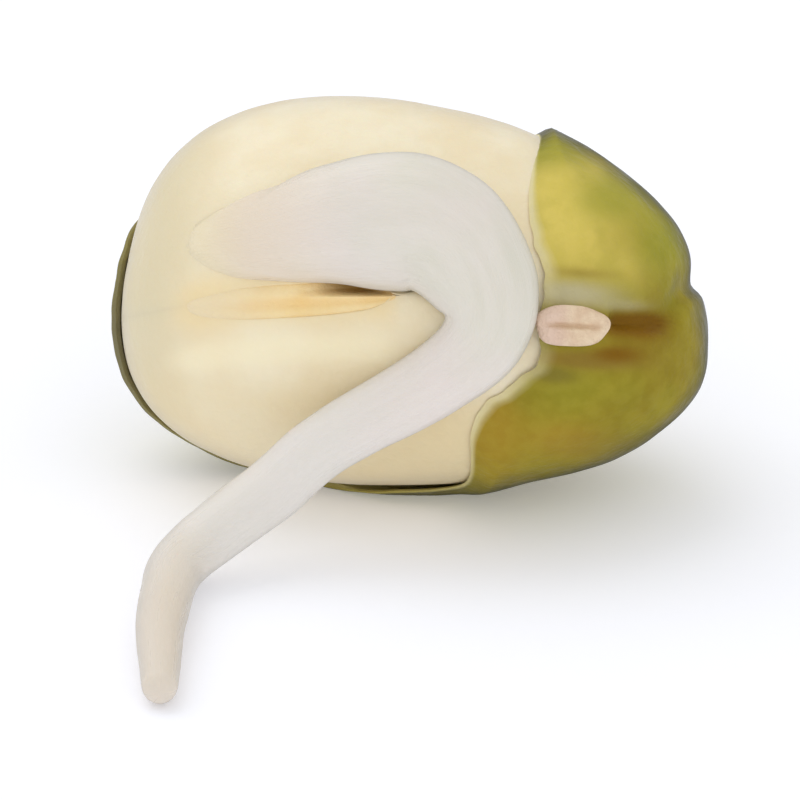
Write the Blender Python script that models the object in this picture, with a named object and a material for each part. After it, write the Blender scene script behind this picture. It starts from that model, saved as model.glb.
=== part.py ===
"""One mung bean sprout at its real size: two seed leaves in a split green coat, the first leaves between
them, and a hooked stem that runs down into a root lying on the ground.

World axes: X runs along the seed, -Y faces the belly of the seed, where the stem lies, and +Z is up. The
origin lies on the small flat spot on which the coat rests, straight below the seed's middle. All sizes below
are in millimetres.

The seed has axes of its own: u along its length, v out of its belly and w across it, upwards. Its skin is a
rounded box-like egg, fuller at one corner, read along a direction from the seed's middle. The cleft between
the two seed leaves bows upwards along the seed."""

import math

import bmesh
import bpy
from mathutils import Vector

MM = 0.001

# The seed: the two seed leaves together, without the coat
SEED_LENGTH = 7.48
SEED_DEPTH = 4.9
SEED_HEIGHT = 5.1
SEED_SQUARENESS = 2.3
# How much fuller the seed is at three places round it: the shares of a cosine and a sine of three waves
SEED_FULLER = (0.037, -0.017)
SEED_MIDDLE_HEIGHT = 2.58
SEED_ROLL = math.radians(18.0)
SEED_PITCH = math.radians(1.2)

# The cleft between the seed leaves: where it is highest along the seed, its height there, and its bow
CLEFT_TOP_AT = 0.6
CLEFT_TOP = 0.19
CLEFT_BOW = 0.042
CLEFT_GAP = 0.08
RIM_TILT = math.radians(84.0)
RIM_TILT_FREE_END = math.radians(87.0)
RIM_POWER = 7.0
RIM_POWER_FREE_END = 20.0
# Shares of the leaf's length from its middle, between which its rim turns into the flatter free end
FREE_END_FROM = 0.5
FREE_END_FULL = 0.95
# How much shorter the seed leaves are than the skin at their coated end, and where that starts and is full
LEAF_SLACK = 0.15
LEAF_SLACK_FROM = 0.48
LEAF_SLACK_FULL = 0.72
LEAF_SIDES = 44
DOME_RINGS = 8
FACE_RINGS = (0.985, 0.95, 0.88, 0.74, 0.5, 0.25)

# The coat: a boat over the back and underside that closes over the right end
COAT_CLEARANCE = 0.05
COAT_THICKNESS = 0.15
COAT_RINGS = 14
COAT_STEP = 6.0
COAT_FINE_STEP = 2.5
COAT_FINE = ((48.0, 66.0), (156.0, 174.0), (286.0, 312.0))
# Where the coat is torn off: angle round the seed from its right end, and how far it reaches from the back
COAT_TEAR = (
    (0.0, 146.6), (6.0, 145.6), (16.0, 143.9), (25.0, 142.6), (34.0, 140.0), (42.0, 136.4), (49.0, 131.0),
    (54.5, 124.0), (59.0, 113.5), (61.5, 101.0), (64.5, 84.0), (67.5, 66.0), (76.0, 59.0), (95.0, 56.0),
    (125.0, 57.5), (148.0, 63.0), (160.0, 76.0), (168.0, 94.0), (176.0, 99.5), (190.0, 100.0), (203.0, 97.0),
    (222.0, 94.0), (245.0, 94.0), (262.0, 96.0), (275.0, 95.5), (285.0, 98.0), (289.0, 104.5),
    (291.5, 113.0), (294.5, 122.5), (299.0, 132.5), (303.5, 138.0), (308.5, 141.5), (314.5, 143.7),
    (322.0, 144.4), (330.5, 144.0), (337.5, 143.4), (345.0, 144.0), (352.0, 146.0), (360.0, 146.6),
)
TEAR_SOFTENING = 3.0
# The ragged line of the tear: its height in degrees, and each wave's count round the seed, share and start
TEAR_RAGGED = 0.45
TEAR_WAVES = ((11, 1.0, 0.0), (23, 0.7, 1.0))
TEAR_LIFT = 0.015
TEAR_LIFT_RUN = 14.0
# The fold between the coat's two lobes, from the hilum round the right end, where it rises
FOLD_DEPTH = 0.18
FOLD_WIDTH = 0.19
FOLD_FROM = 134.0
FOLD_FULL = 127.0
FOLD_FADE = 82.0
FOLD_END = 58.0
FOLD_AT = 0.02
FOLD_RISE = 0.42
FOLD_RISE_FROM = 117.0
FOLD_RISE_FULL = 99.0

# The hilum: the oval spongy scar on the coat
HILUM_AT = (2.74, -0.03)
HILUM_SIZE = (0.74, 0.54)
HILUM_THICKNESS = 0.14
HILUM_EDGE_SHARE = 0.35
HILUM_GAP = 0.04
HILUM_GROOVE = 0.05
HILUM_GROOVE_WIDTH = 0.24
HILUM_SIDES = 20
HILUM_RINGS = (1.0, 0.93, 0.78, 0.5, 0.24)
# How many times the aim at a spot on the coat is corrected
SPOT_AIMS = 5

# The first leaves, folded together in the cleft
FIRST_LEAVES_AT = (-1.05, 1.62)
FIRST_LEAVES_SIZE = (2.5, 1.05, 0.36)
FIRST_LEAVES_GAP = 0.06
FIRST_LEAVES_FOLD = 0.16
FIRST_LEAVES_FOLD_WIDTH = 0.4
FIRST_LEAVES_TAPER = 0.35
FIRST_LEAVES_RINGS = 14
FIRST_LEAVES_SIDES = 16

# The stem and root: centre line x, y, z and half width, from the joint of the seed leaves to the root tip
STEM_ROUTE = (
    (-2.52, -1.36, 3.52, 0.38), (-1.84, -1.74, 3.91, 0.53), (-1.17, -1.90, 4.16, 0.68),
    (-0.52, -1.93, 4.33, 0.82), (0.09, -1.94, 4.42, 0.92), (0.58, -1.94, 4.43, 0.94),
    (0.99, -2.02, 4.33, 0.90), (1.34, -2.18, 4.04, 0.82), (1.56, -2.34, 3.71, 0.73),
    (1.64, -2.47, 3.40, 0.67), (1.57, -2.57, 3.12, 0.59), (1.34, -2.65, 2.85, 0.52),
    (0.93, -2.73, 2.52, 0.48), (0.49, -2.80, 2.23, 0.46), (-0.50, -2.98, 1.62, 0.43),
    (-1.09, -3.28, 1.10, 0.43), (-1.68, -3.80, 0.72, 0.42), (-2.00, -4.18, 0.52, 0.40),
    (-2.16, -4.78, 0.43, 0.375), (-2.12, -5.59, 0.40, 0.35), (-2.02, -6.56, 0.37, 0.33),
    (-1.83, -7.61, 0.32, 0.28), (-1.70, -8.29, 0.28, 0.24),
)
STEM_SIDES = 14
STEM_STEPS = 3
STEM_FLATNESS = 0.78
STEM_ROUND_FROM = 0.55
STEM_ROUND_AT = 0.72
STEM_END_RINGS = (0.5, 0.82)
# How far each end is rounded off, as a share of the half width there
STEM_END_LENGTH = 0.6
STEM_BED_GAP = 0.05
# The side of the sprout that the stem lies on, seen square on
BELLY_TURN = math.radians(10.0)
BELLY_RISE = math.radians(22.0)

MATERIALS = {
    "seed_leaf": ((0.84, 0.71, 0.47), 0.42),
    "first_leaf": ((0.80, 0.56, 0.20), 0.45),
    "stem": ((0.74, 0.71, 0.62), 0.36),
    "coat": ((0.34, 0.27, 0.035), 0.33),
    "hilum": ((0.62, 0.45, 0.32), 0.6),
}

BELLY = Vector((0.0, -math.cos(SEED_ROLL), math.sin(SEED_ROLL)))
UPRIGHT = Vector((0.0, math.sin(SEED_ROLL), math.cos(SEED_ROLL)))
LENGTHWISE = Vector((1.0, 0.0, 0.0)) * math.cos(SEED_PITCH) - UPRIGHT * math.sin(SEED_PITCH)
ACROSS = Vector((1.0, 0.0, 0.0)) * math.sin(SEED_PITCH) + UPRIGHT * math.cos(SEED_PITCH)
SEED_MIDDLE = Vector((0.0, 0.0, SEED_MIDDLE_HEIGHT))
HALF = (SEED_LENGTH / 2, SEED_DEPTH / 2, SEED_HEIGHT / 2)


def clear_scene():
    """Removes what the new file holds."""
    for old in list(bpy.data.objects):
        bpy.data.objects.remove(old, do_unlink=True)


def smooth_step(value, low, high):
    """Eases from 0 at low to 1 at high."""
    t = min(max((value - low) / (high - low), 0.0), 1.0)
    return t * t * (3 - 2 * t)


def to_world(local):
    """A point in the seed's own axes, as a world point, both in millimetres."""
    return SEED_MIDDLE + LENGTHWISE * local[0] + BELLY * local[1] + ACROSS * local[2]


def cleft_height(u):
    """The height of the cleft between the seed leaves, along the seed."""
    return CLEFT_TOP - CLEFT_BOW * (u - CLEFT_TOP_AT) ** 2


def egg(direction, grow):
    """The seed's skin, grown outwards, along a direction in the seed's own axes."""
    x, y, z = direction
    power = SEED_SQUARENESS
    reach = (abs(x) ** power + (y * y + z * z) ** (power / 2)) ** (-1 / power)
    waves = 3 * math.atan2(z, x)
    fuller = SEED_FULLER[0] * math.cos(waves) + SEED_FULLER[1] * math.sin(waves)
    reach *= 1 + fuller * (1 - y * y)
    return [part * reach * (half + grow) for part, half in zip(direction, HALF)]


def kept_above(point, height):
    """A world point, pressed up to a height where it lies lower."""
    return Vector((point.x, point.y, max(point.z, height)))


def closed_mesh(name, rings, first=None, last=None):
    """A closed body through rings of world points, with a point at each end that has one."""
    mesh = bmesh.new()
    rows = [[mesh.verts.new(point * MM) for point in ring] for ring in rings]
    for one, two in zip(rows, rows[1:]):
        for i in range(len(one)):
            j = (i + 1) % len(one)
            mesh.faces.new((one[i], one[j], two[j], two[i]))
    for row, tip in ((rows[0], first), (rows[-1], last)):
        if tip is None:
            continue
        end = mesh.verts.new(tip * MM)
        for i in range(len(row)):
            mesh.faces.new((row[i], row[(i + 1) % len(row)], end))
    bmesh.ops.recalc_face_normals(mesh, faces=mesh.faces)
    data = bpy.data.meshes.new(name)
    mesh.to_mesh(data)
    mesh.free()
    return data


def add_object(name, data, material):
    """Adds a smooth shaded object with its material."""
    thing = bpy.data.objects.new(name, data)
    bpy.context.scene.collection.objects.link(thing)
    data.shade_smooth()
    data.materials.append(material)
    return thing


def add_cutter(name, data):
    """Adds a shape that only cuts others."""
    cutter = bpy.data.objects.new(name, data)
    bpy.context.scene.collection.objects.link(cutter)
    cutter.hide_render = True
    cutter.display_type = "WIRE"
    return cutter


def cut(thing, cutter):
    """Takes a cutter's shape out of an object."""
    boolean = thing.modifiers.new("cut " + cutter.name, "BOOLEAN")
    boolean.operation = "DIFFERENCE"
    boolean.solver = "EXACT"
    boolean.object = cutter


def make_material(name):
    """A plain material in the colour that the piece has."""
    colour, roughness = MATERIALS[name]
    material = bpy.data.materials.new(name)
    material.use_nodes = True
    shader = material.node_tree.nodes["Principled BSDF"]
    shader.inputs["Base Color"].default_value = (*colour, 1.0)
    shader.inputs["Roughness"].default_value = roughness
    shader.inputs["Metallic"].default_value = 0.0
    return material


def leaf_skin(x, y, z):
    """A point on the outside of the seed leaves, along a direction that need not have a length of one."""
    direction = Vector((x, y, z)).normalized()
    return egg(direction, -LEAF_SLACK * smooth_step(direction.x, LEAF_SLACK_FROM, LEAF_SLACK_FULL))


def seed_leaf_mesh(name, side):
    """One of the two seed leaves: an outer dome, a rounded rim and the bowed face in the cleft."""
    lowest = COAT_THICKNESS + COAT_CLEARANCE
    turns = [2 * math.pi * i / LEAF_SIDES for i in range(LEAF_SIDES)]
    free_end = [smooth_step(-math.cos(turn), FREE_END_FROM, FREE_END_FULL) for turn in turns]
    rings = []
    for row in range(1, DOME_RINGS + 1):
        part = row / DOME_RINGS
        ring = []
        for turn, free in zip(turns, free_end):
            tilt = (RIM_TILT + (RIM_TILT_FREE_END - RIM_TILT) * free) * part
            x = math.sin(tilt) * math.cos(turn)
            y = math.sin(tilt) * math.sin(turn)
            bow = cleft_height(x * HALF[0]) / HALF[2] * part
            ring.append(leaf_skin(x, y, side * math.cos(tilt) + bow))
        rings.append(ring)
    for part in FACE_RINGS:
        ring = []
        for free, (u, v, w) in zip(free_end, rings[DOME_RINGS - 1]):
            power = RIM_POWER + (RIM_POWER_FREE_END - RIM_POWER) * free
            rise = 1 - math.sqrt(1 - part**power)
            face = cleft_height(u * part) + side * CLEFT_GAP / 2
            rim = cleft_height(u) + side * CLEFT_GAP / 2
            ring.append((u * part, v * part, face + (w - rim) * rise))
        rings.append(ring)
    placed = [[kept_above(to_world(point), lowest) for point in ring] for ring in rings]
    top = kept_above(to_world(leaf_skin(0, 0, side)), lowest)
    return closed_mesh(name, placed, first=top, last=to_world((0, 0, cleft_height(0) + side * CLEFT_GAP / 2)))


def first_leaves_mesh(name, grow):
    """The first pair of leaves, folded together along their outer edge, as one slim pointed body."""
    length, depth, thickness = (size / 2 + grow for size in FIRST_LEAVES_SIZE)
    middle_u, middle_v = FIRST_LEAVES_AT
    rings = []
    for row in range(1, FIRST_LEAVES_RINGS):
        along = -math.cos(math.pi * row / FIRST_LEAVES_RINGS)
        swell = math.sqrt(1 - along * along) * (1 - FIRST_LEAVES_TAPER * max(along, 0.0))
        ring = []
        for i in range(FIRST_LEAVES_SIDES):
            turn = 2 * math.pi * i / FIRST_LEAVES_SIDES
            away = min(turn, 2 * math.pi - turn)
            fold = FIRST_LEAVES_FOLD * math.exp(-((away / FIRST_LEAVES_FOLD_WIDTH) ** 2))
            reach = depth * math.cos(turn) - (0.0 if grow else fold)
            u = middle_u + length * along
            v = middle_v + reach * swell
            ring.append(to_world((u, v, cleft_height(u) + thickness * math.sin(turn) * swell)))
        rings.append(ring)
    back, tip = (
        to_world((u, middle_v, cleft_height(u))) for u in (middle_u - length, middle_u + length)
    )
    return closed_mesh(name, rings, first=back, last=tip)


def smooth_route(stations, steps):
    """Points between the stations on one smooth curve through them, with their half widths."""
    path = []
    last = len(stations) - 1
    for i in range(last):
        before = Vector(stations[max(i - 1, 0)])
        here = Vector(stations[i])
        there = Vector(stations[i + 1])
        after = Vector(stations[min(i + 2, last)])
        for step in range(steps):
            t = step / steps
            path.append(
                0.5 * (2 * here + (there - before) * t + (2 * before - 5 * here + 4 * there - after) * t**2
                       + (3 * here - before - 3 * there + after) * t**3)
            )
    path.append(Vector(stations[last]))
    return path


def stem_mesh(name, grow, sides):
    """The stem and root in one: oval where it lies on the seed, round along the ground."""
    facing = Vector((
        math.sin(BELLY_TURN) * math.cos(BELLY_RISE),
        -math.cos(BELLY_TURN) * math.cos(BELLY_RISE),
        math.sin(BELLY_RISE),
    ))
    path = smooth_route([(*place, half) for *place, half in STEM_ROUTE], STEM_STEPS)
    centres = [point.xyz for point in path]
    count = len(path)
    rings = []
    for i, point in enumerate(path):
        run = (centres[min(i + 1, count - 1)] - centres[max(i - 1, 0)]).normalized()
        wide = run.cross(facing).normalized()
        deep = wide.cross(run).normalized()
        roundness = smooth_step(i / (count - 1), STEM_ROUND_FROM, STEM_ROUND_AT)
        flat = STEM_FLATNESS + (1 - STEM_FLATNESS) * roundness
        half = point.w + grow
        half_deep = point.w * flat + grow
        rings.append((centres[i], run, wide * half, deep * half_deep))
    placed = []
    ends = []
    for end, way in ((rings[0], -1), (rings[-1], 1)):
        centre, run, wide, deep = end
        tip = run * way * wide.length * STEM_END_LENGTH
        caps = []
        for part in STEM_END_RINGS:
            size = math.sqrt(1 - part * part)
            caps.append((centre + tip * part, run, wide * size, deep * size))
        ends.append((caps, centre + tip))
    for centre, _, wide, deep in ends[0][0][::-1] + rings + ends[1][0]:
        turns = [2 * math.pi * i / sides for i in range(sides)]
        placed.append([centre + wide * math.cos(turn) + deep * math.sin(turn) for turn in turns])
    return closed_mesh(name, placed, first=ends[0][1], last=ends[1][1])


def tear_line(angle):
    """How far the coat reaches from the back of the seed, at an angle round it, in degrees."""

    def straight(at):
        at %= 360.0
        for (one, reach_one), (two, reach_two) in zip(COAT_TEAR, COAT_TEAR[1:]):
            if one <= at <= two:
                return reach_one + (reach_two - reach_one) * (at - one) / (two - one)
        return COAT_TEAR[-1][1]

    soft = sum(straight(angle + k * TEAR_SOFTENING / 2) for k in range(-2, 3)) / 5
    turn = math.radians(angle)
    ragged = sum(share * math.sin(count * turn + start) for count, share, start in TEAR_WAVES)
    return soft + TEAR_RAGGED * ragged


def coat_skin(turn, reach, edge, grow):
    """A point on a sheet of the coat, in the seed's own axes, with the fold and the lifted torn edge."""
    direction = (
        math.sin(reach) * math.cos(turn),
        -math.cos(reach),
        math.sin(reach) * math.sin(turn),
    )
    degrees = math.degrees(reach)
    lift = TEAR_LIFT * smooth_step(degrees, edge - TEAR_LIFT_RUN, edge)
    point = egg(direction, grow + lift)
    if direction[0] > 0:
        middle = FOLD_AT + FOLD_RISE * (1 - smooth_step(degrees, FOLD_RISE_FULL, FOLD_RISE_FROM))
        across = math.exp(-(((point[2] - middle) / FOLD_WIDTH) ** 2))
        along = smooth_step(degrees, FOLD_END, FOLD_FADE) * (1 - smooth_step(degrees, FOLD_FULL, FOLD_FROM))
        size = Vector(point).length
        scale = 1 - FOLD_DEPTH * across * along / size
        point = [part * scale for part in point]
    return point


def coat_angles():
    """Angles round the seed, closer together where the torn edge turns sharply."""
    angles = []
    at = 0.0
    while at < 360.0 - COAT_FINE_STEP / 2:
        angles.append(at)
        fine = any(low <= at < high for low, high in COAT_FINE)
        at += COAT_FINE_STEP if fine else COAT_STEP
    return angles


def coat_mesh(name):
    """The coat: an outer and an inner sheet from the back of the seed to the torn edge, joined there."""
    angles = coat_angles()
    sheets = []
    for grow, lowest in ((COAT_CLEARANCE + COAT_THICKNESS, 0.0), (COAT_CLEARANCE, COAT_THICKNESS)):
        rings = []
        for row in range(1, COAT_RINGS + 1):
            ring = []
            for angle in angles:
                edge = tear_line(angle)
                reach = math.radians(edge * row / COAT_RINGS)
                point = coat_skin(math.radians(angle), reach, edge, grow)
                ring.append(kept_above(to_world(point), lowest))
            rings.append(ring)
        sheets.append(rings)
    outer, inner = sheets
    outer_back = to_world(egg((0, -1, 0), COAT_CLEARANCE + COAT_THICKNESS))
    inner_back = to_world(egg((0, -1, 0), COAT_CLEARANCE))
    return closed_mesh(name, outer + inner[::-1], first=outer_back, last=inner_back)


def coat_spot(u, w, grow):
    """The point of the grown skin on the belly side at u and w, found by aiming a few times."""
    across = u / HALF[0]
    up = w / HALF[2]
    for _ in range(SPOT_AIMS):
        out = math.sqrt(1 - across * across - up * up)
        found = Vector(egg(Vector((across, out, up)).normalized(), grow))
        across += (u - found.x) / HALF[0]
        up += (w - found.z) / HALF[2]
    return found


def hilum_mesh(name):
    """The hilum: an oval pad on the coat, with a shallow groove down its middle."""
    grow = COAT_CLEARANCE + COAT_THICKNESS
    long, high = HILUM_SIZE[0] / 2, HILUM_SIZE[1] / 2
    middle_u, middle_w = HILUM_AT
    middle = coat_spot(middle_u, middle_w, grow)
    to_end = (coat_spot(middle_u + long, middle_w, grow) - middle).normalized()
    to_side = (coat_spot(middle_u, middle_w + high, grow) - middle).normalized()
    outward = to_side.cross(to_end).normalized()

    def on_coat(p, q, lift):
        spot = coat_spot(middle_u + long * p, middle_w + high * q, grow)
        return to_world(spot + outward * lift)

    turns = [2 * math.pi * i / HILUM_SIDES for i in range(HILUM_SIDES)]
    rings = [[on_coat(r * math.cos(t), r * math.sin(t), HILUM_GAP) for t in turns] for r in HILUM_RINGS[::-1]]
    for r in HILUM_RINGS:
        dome = HILUM_THICKNESS * (HILUM_EDGE_SHARE + (1 - HILUM_EDGE_SHARE) * math.sqrt(1 - r * r))
        ring = []
        for t in turns:
            p, q = r * math.cos(t), r * math.sin(t)
            groove = HILUM_GROOVE * math.exp(-((q / HILUM_GROOVE_WIDTH) ** 2)) * (1 - r * r)
            ring.append(on_coat(p, q, HILUM_GAP + dome - groove))
        rings.append(ring)
    top = HILUM_GAP + HILUM_THICKNESS - HILUM_GROOVE
    return closed_mesh(name, rings, first=on_coat(0, 0, HILUM_GAP), last=on_coat(0, 0, top))


def main():
    """Builds every piece of the sprout."""
    clear_scene()
    seed_leaf = make_material("seed_leaf")
    bed = add_cutter("stem_bed", stem_mesh("stem_bed", STEM_BED_GAP, STEM_SIDES))
    pocket = add_cutter("first_leaves_pocket", first_leaves_mesh("first_leaves_pocket", FIRST_LEAVES_GAP))
    for name, side in (("seed_leaf_upper", 1), ("seed_leaf_lower", -1)):
        leaf = add_object(name, seed_leaf_mesh(name, side), seed_leaf)
        cut(leaf, bed)
        cut(leaf, pocket)
    add_object("first_leaves", first_leaves_mesh("first_leaves", 0.0), make_material("first_leaf"))
    stem = stem_mesh("stem_and_rootlet", 0.0, STEM_SIDES)
    add_object("stem_and_rootlet", stem, make_material("stem"))
    add_object("seed_coat", coat_mesh("seed_coat"), make_material("coat"))
    add_object("hilum", hilum_mesh("hilum"), make_material("hilum"))


main()
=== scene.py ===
"""The looks of one mung bean sprout: a split olive seed coat with its hilum, two cream seed leaves, the
yellow first leaves in their cleft, and a pale hooked stem that ends in a root lying on the ground.

Sizes are in millimetres and are turned into metres where a mesh is made. The seed has axes of its own: u
along its length, v out of its belly and w across the cleft between the two seed leaves."""

import math

import bpy
import numpy as np
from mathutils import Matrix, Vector, noise


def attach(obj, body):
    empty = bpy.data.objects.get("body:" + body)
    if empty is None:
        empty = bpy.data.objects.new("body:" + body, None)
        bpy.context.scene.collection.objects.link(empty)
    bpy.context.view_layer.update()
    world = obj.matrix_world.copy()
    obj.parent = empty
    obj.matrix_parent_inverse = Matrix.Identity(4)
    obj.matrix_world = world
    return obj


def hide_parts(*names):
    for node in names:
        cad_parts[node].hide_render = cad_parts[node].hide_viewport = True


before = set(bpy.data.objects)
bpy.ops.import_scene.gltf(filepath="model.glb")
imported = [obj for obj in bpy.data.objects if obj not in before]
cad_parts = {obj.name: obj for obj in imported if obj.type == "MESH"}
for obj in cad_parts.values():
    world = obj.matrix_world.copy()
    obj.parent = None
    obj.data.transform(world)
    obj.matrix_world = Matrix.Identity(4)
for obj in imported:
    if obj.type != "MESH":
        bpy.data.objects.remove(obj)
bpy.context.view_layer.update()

MM = 0.001
SHARP_FROM = math.radians(40.0)
VARIANT_STEP = (1.0, 1.7, 0.6)

# The seed, as the solids hold it
SEED_HALF = np.array([3.74, 2.45, 2.55])
SEED_SQUARENESS = 2.3
SEED_FULLER = (0.037, -0.017)
SEED_MIDDLE = np.array([0.0, 0.0, 2.58])
SEED_ROLL = math.radians(18.0)
SEED_PITCH = math.radians(1.2)
FREE_END_SWELL = 0.06
FREE_END_RANGE = (0.35, 0.85)
AIMS = 5
LEAST_OUT = 0.02
EAST = np.array([1.0, 0.0, 0.0])
UPRIGHT = np.array([0.0, math.sin(SEED_ROLL), math.cos(SEED_ROLL)])
BELLY = np.array([0.0, -math.cos(SEED_ROLL), math.sin(SEED_ROLL)])
LENGTHWISE = EAST * math.cos(SEED_PITCH) - UPRIGHT * math.sin(SEED_PITCH)
ACROSS = EAST * math.sin(SEED_PITCH) + UPRIGHT * math.cos(SEED_PITCH)

# The skin of the seed leaves. A layer of relief has a height, a patch size, a variant and its octaves
LEAF_RELIEF = ((0.03, 2.6, 2.0, 2), (0.01, 0.8, 5.0, 2))

# The camera's side of the sprout
VIEW_TURN = math.radians(10.0)
VIEW_RISE = math.radians(22.0)
VIEW_BACK = np.array([
    math.sin(VIEW_TURN) * math.cos(VIEW_RISE),
    -math.cos(VIEW_TURN) * math.cos(VIEW_RISE),
    math.sin(VIEW_RISE),
])


def smooth_step(values, low, high):
    """Eases from 0 at low to 1 at high, for numbers or arrays."""
    t = np.clip((values - low) / (high - low), 0.0, 1.0)
    return t * t * (3 - 2 * t)


def bell(values, width):
    """A soft bump of height 1 round zero."""
    return np.exp(-((values / width) ** 2))


def egg(directions, grow):
    """Points of the seed's skin, grown outwards, along directions in the seed's own axes."""
    directions = directions / np.linalg.norm(directions, axis=1)[:, None]
    x, y, z = directions.T
    power = SEED_SQUARENESS
    reach = (np.abs(x) ** power + (y * y + z * z) ** (power / 2)) ** (-1 / power)
    waves = 3 * np.arctan2(z, x)
    reach *= 1 + (SEED_FULLER[0] * np.cos(waves) + SEED_FULLER[1] * np.sin(waves)) * (1 - y * y)
    return directions * reach[:, None] * (SEED_HALF + np.reshape(grow, (-1, 1)))


def belly_spot(u, w, grow):
    """Points of the grown skin on the belly side at u and w, found by aiming a few times."""
    across = u / SEED_HALF[0]
    up = w / SEED_HALF[2]
    for _ in range(AIMS):
        out = np.sqrt(np.clip(1 - across * across - up * up, LEAST_OUT, 1.0))
        found = egg(np.stack([across, out, up], axis=1), grow)
        across = across + (u - found[:, 0]) / SEED_HALF[0]
        up = up + (w - found[:, 2]) / SEED_HALF[2]
    return found


def to_world(local):
    """Points in the seed's own axes, as world points."""
    u, v, w = local.T
    return SEED_MIDDLE + u[:, None] * LENGTHWISE + v[:, None] * BELLY + w[:, None] * ACROSS


def to_seed(world):
    """World points in the seed's own axes."""
    away = world - SEED_MIDDLE
    return np.stack([away @ LENGTHWISE, away @ BELLY, away @ ACROSS], axis=1)


def mottle(points, size, variant, octaves):
    """Soft noise between about -1 and 1 at each point, with patches of a size in millimetres."""
    shift = Vector(VARIANT_STEP) * variant
    out = np.empty(len(points))
    for i, point in enumerate(points):
        out[i] = noise.fractal(Vector(point) / size + shift, 1.0, 2.0, octaves)
    return out


def relief_of(points, layers):
    """How far a skin swells and sinks, from its layers of relief."""
    return sum(height * mottle(points, *layer) for height, *layer in layers)


def leaf_relief(world):
    """How far the seed leaves' skin swells and sinks."""
    return relief_of(world, LEAF_RELIEF)


def leaf_swell(local):
    """How much fuller the seed leaves are towards their free end, where they fill the coat."""
    toward_end = -local[:, 0] / np.linalg.norm(local, axis=1)
    return FREE_END_SWELL * smooth_step(toward_end, *FREE_END_RANGE)


def get_points(thing):
    """The mesh points of an object, in millimetres."""
    flat = np.empty(len(thing.data.vertices) * 3)
    thing.data.vertices.foreach_get("co", flat)
    return flat.reshape(-1, 3) / MM


def set_points(thing, points):
    """Moves an object's mesh points to places in millimetres."""
    thing.data.vertices.foreach_set("co", (points * MM).ravel())
    thing.data.update()


def get_normals(thing):
    """The mesh point normals of an object."""
    flat = np.empty(len(thing.data.vertices) * 3)
    thing.data.vertex_normals.foreach_get("vector", flat)
    return flat.reshape(-1, 3)


def add_value(thing, name, values):
    """Stores a number for each mesh point, which a material reads."""
    layer = thing.data.attributes.new(name, "FLOAT", "POINT")
    layer.data.foreach_set("value", np.asarray(values, dtype=np.float32))


def add_place(thing, name, points):
    """Stores a place for each mesh point, which a material reads."""
    layer = thing.data.attributes.new(name, "FLOAT_VECTOR", "POINT")
    layer.data.foreach_set("vector", np.asarray(points, dtype=np.float32).ravel())


def add_ball(name, segments, rings):
    """Adds a ball of radius 1 mm to be shaped, with its poles along Z."""
    bpy.ops.mesh.primitive_uv_sphere_add(segments=segments, ring_count=rings, radius=MM)
    ball = bpy.context.object
    ball.name = name
    return ball


def ball_angles(thing):
    """Each mesh point's angle from the upper pole of a ball, and its turn round the axis."""
    x, y, z = get_points(thing).T
    return np.arccos(np.clip(z, -1, 1)), np.arctan2(y, x)


def select_only(thing):
    """Selects one object and nothing else."""
    bpy.ops.object.select_all(action="DESELECT")
    thing.select_set(True)
    bpy.context.view_layer.objects.active = thing


def point_outwards(thing):
    """Turns all faces of an object outwards."""
    select_only(thing)
    bpy.ops.object.mode_set(mode="EDIT")
    bpy.ops.mesh.select_all(action="SELECT")
    bpy.ops.mesh.normals_make_consistent(inside=False)
    bpy.ops.object.mode_set(mode="OBJECT")


def finish_piece(thing, node, material):
    """Dresses a finished piece, which stands for a solid and rides on the body."""
    select_only(thing)
    bpy.ops.object.shade_smooth_by_angle(angle=SHARP_FROM)
    thing.data.materials.clear()
    thing.data.materials.append(material)
    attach(thing, "root")
    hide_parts(node)


def apply_all(thing):
    """Applies an object's modifiers in their order."""
    select_only(thing)
    for modifier in list(thing.modifiers):
        bpy.ops.object.modifier_apply(modifier=modifier.name)


# The stem and root: centre line x, y, z and half width, from the joint of the seed leaves to the root tip
STEM_ROUTE = (
    (-2.50, -1.24, 3.46, 0.40), (-1.84, -1.72, 3.90, 0.53), (-1.17, -1.90, 4.16, 0.68),
    (-0.52, -1.93, 4.33, 0.82), (0.09, -1.94, 4.42, 0.92), (0.58, -1.94, 4.43, 0.94),
    (0.99, -2.02, 4.33, 0.90), (1.34, -2.18, 4.04, 0.82), (1.56, -2.34, 3.71, 0.73),
    (1.64, -2.47, 3.40, 0.67), (1.57, -2.57, 3.12, 0.59), (1.34, -2.65, 2.85, 0.52),
    (0.93, -2.73, 2.52, 0.48), (0.49, -2.80, 2.23, 0.46), (-0.50, -2.98, 1.62, 0.43),
    (-1.09, -3.28, 1.10, 0.43), (-1.68, -3.80, 0.72, 0.42), (-2.00, -4.18, 0.52, 0.40),
    (-2.16, -4.78, 0.43, 0.375), (-2.12, -5.59, 0.40, 0.35), (-2.02, -6.56, 0.37, 0.33),
    (-1.83, -7.61, 0.32, 0.28), (-1.70, -8.29, 0.28, 0.24),
)
STEM_STEPS = 4
STEM_SIDES = 28
STEM_FLATNESS = 0.78
STEM_ROUND_FROM = 0.55
STEM_ROUND_AT = 0.72
STEM_END_ROUNDING = (0.0, 0.35, 0.6, 0.8, 0.93, 0.985)
STEM_END_LENGTH = 0.6
ROOT_END_LENGTH = 0.95
START_FLUSH = 0.1
START_RISEN = 2.2
START_SUNK = 0.02
START_SUNK_BELOW = -0.2
START_FILLET = 0.35
HOOK_RELAX_ROUNDS = 12
HOOK_MIDDLE = 31
HOOK_SPREAD = 13.0
STRAND_LENGTH = 0.35
STRAND_ROUND = 1.6
STRAND_RELIEF = ((0.004, 1 / 2.2, 3.0, 2),)
STEM_RELIEF = ((0.02, 0.9, 8.0, 2),)
RELIEF_FULL_WIDTH = 0.5
RELIEF_SHARES = (0.4, 1.2)
STEM_LOWEST = 0.004


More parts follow.
